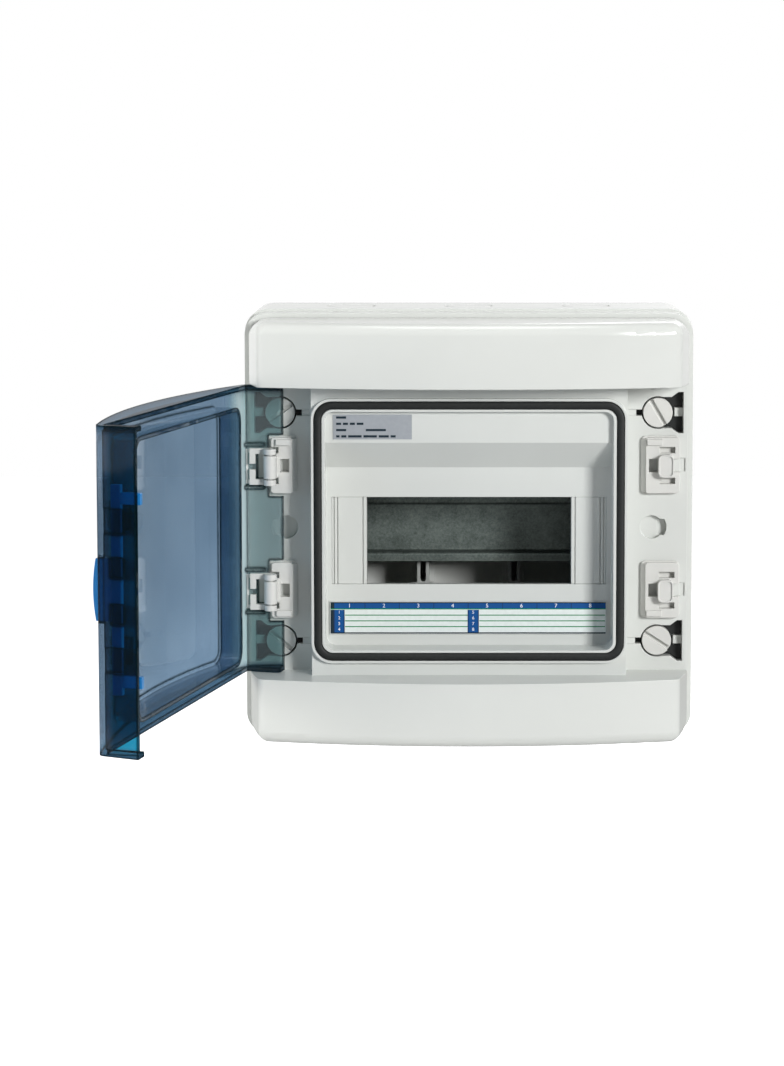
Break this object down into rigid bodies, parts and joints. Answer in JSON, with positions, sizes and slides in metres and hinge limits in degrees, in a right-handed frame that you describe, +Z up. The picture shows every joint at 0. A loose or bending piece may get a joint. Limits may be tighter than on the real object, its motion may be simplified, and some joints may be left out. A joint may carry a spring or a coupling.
{
  "type": "breaker panel box",
  "caption": "Wall-mounted distribution box for one row of modular breakers, with a tinted side-hinged door over a windowed cover, a DIN rail and quarter-turn cover screws.",
  "frame": {"origin": "centre of the back face, which lies on the wall", "axes": "+X to the right, +Y into the wall, +Z up; the front of the box is at negative Y"},
  "size_m": [0.2838, 0.3045, 0.221],
  "materials": {
    "grey_housing": "light grey moulded plastic, satin gloss",
    "socket_grey": "light grey moulded plastic, slightly warmer than the housing",
    "support_grey": "mid grey moulded plastic",
    "seal_rubber": "black soft rubber, matt",
    "clear_carrier": "white card holder",
    "label_card": "printed card with blue number fields and green writing lines",
    "rating_label": "silver grey sticker with plain bars",
    "galvanised_steel": "galvanised, slightly mottled",
    "zinc_screw": "zinc plated",
    "brass_bar": "plain brass",
    "tinted_pane": "transparent blue-grey plastic, polished",
    "latch_blue": "blue moulded plastic"
  },
  "bodies": {
    "enclosure": {"base_box": "grey_housing", "cover_seal": "seal_rubber", "front_cover": "grey_housing", "door_gasket": "seal_rubber", "window_blank_left": "grey_housing", "window_blank_right": "grey_housing", "label_carrier": "clear_carrier", "label_card": "label_card", "rating_plate": "rating_label", "hinge_block_upper": "socket_grey", "hinge_block_lower": "socket_grey", "catch_block_upper": "socket_grey", "catch_block_lower": "socket_grey", "screw_seals": "seal_rubber", "din_rail": "galvanised_steel", "rail_support_left": "support_grey", "rail_support_right": "support_grey", "rail_screws": "zinc_screw", "terminal_holder": "support_grey", "earth_bar": "brass_bar", "neutral_bar": "brass_bar", "earth_screws": "zinc_screw", "neutral_screws": "zinc_screw"},
    "door": {"door_panel": "tinted_pane", "hinge_clip_upper": "socket_grey", "hinge_clip_lower": "socket_grey"},
    "latch": {"latch_bar": "latch_blue", "latch_handle": "latch_blue"},
    "screw_upper_left": {"cover_screw_upper_left": "socket_grey"},
    "screw_upper_right": {"cover_screw_upper_right": "socket_grey"},
    "screw_lower_left": {"cover_screw_lower_left": "socket_grey"},
    "screw_lower_right": {"cover_screw_lower_right": "socket_grey"}
  },
  "joints": [
    {"name": "door_hinge", "type": "hinge", "parent": "enclosure", "child": "door", "pos_m": [-0.1013, -0.0968, 0], "axis": [0, 0, 1], "range_deg": [0, 103.4]},
    {"name": "latch_pivot", "type": "hinge", "parent": "door", "child": "latch", "pos_m": [-0.15626, -0.29126, 0], "axis": [0, 0, 1], "range_deg": [0, 6], "stiffness_Nm_per_rad": 0.05},
    {"name": "screw_turn_upper_left", "type": "hinge", "parent": "enclosure", "child": "screw_upper_left", "pos_m": [-0.0967, -0.0855, 0.059], "axis": [0, -1, 0], "range_deg": [0, 90]},
    {"name": "screw_turn_upper_right", "type": "hinge", "parent": "enclosure", "child": "screw_upper_right", "pos_m": [0.0967, -0.0855, 0.059], "axis": [0, -1, 0], "range_deg": [0, 90]},
    {"name": "screw_turn_lower_left", "type": "hinge", "parent": "enclosure", "child": "screw_lower_left", "pos_m": [-0.0967, -0.0855, -0.059], "axis": [0, -1, 0], "range_deg": [0, 90]},
    {"name": "screw_turn_lower_right", "type": "hinge", "parent": "enclosure", "child": "screw_lower_right", "pos_m": [0.0967, -0.0855, -0.059], "axis": [0, -1, 0], "range_deg": [0, 90]}
  ]
}
